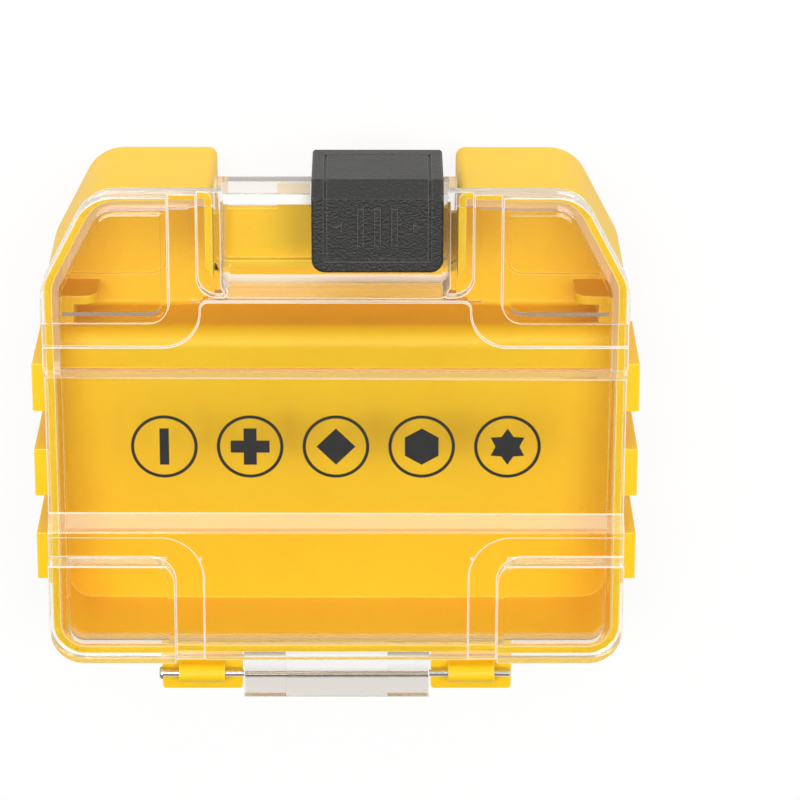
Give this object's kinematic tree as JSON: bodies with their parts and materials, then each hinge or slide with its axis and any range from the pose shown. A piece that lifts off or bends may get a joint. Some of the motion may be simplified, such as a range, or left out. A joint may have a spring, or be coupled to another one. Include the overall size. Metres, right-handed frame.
{
  "type": "small storage case",
  "caption": "Small flat storage case with a moulded tray, clear hinged lid and sliding latch, for bits, screws and other small parts.",
  "frame": {"origin": "centre of the footprint, on the case's flat back, with the case lying on its back", "axes": "+X across the case to the right, +Y from the hinge towards the latch, +Z from the back to the lid"},
  "size_m": [0.1308, 0.1216, 0.0414],
  "materials": {
    "tray_plastic": "satin moulded yellow polypropylene",
    "lid_clear": "clear polished polycarbonate",
    "latch_black": "black, fine moulded grain",
    "pin_steel": "bright drawn wire"
  },
  "bodies": {
    "tray": {"body_tray": "tray_plastic", "hinge_pin": "pin_steel"},
    "lid": {"lid": "lid_clear"},
    "latch": {"latch": "latch_black"}
  },
  "joints": [
    {"name": "lid_hinge", "type": "hinge", "parent": "tray", "child": "lid", "pos_m": [0, -0.05565, 0.032], "axis": [1, 0, 0], "range_deg": [0, 120]},
    {"name": "latch_slide", "type": "slide", "parent": "lid", "child": "latch", "axis": [1, 0, 0], "range_m": [-0.01895, 0.00115]}
  ]
}
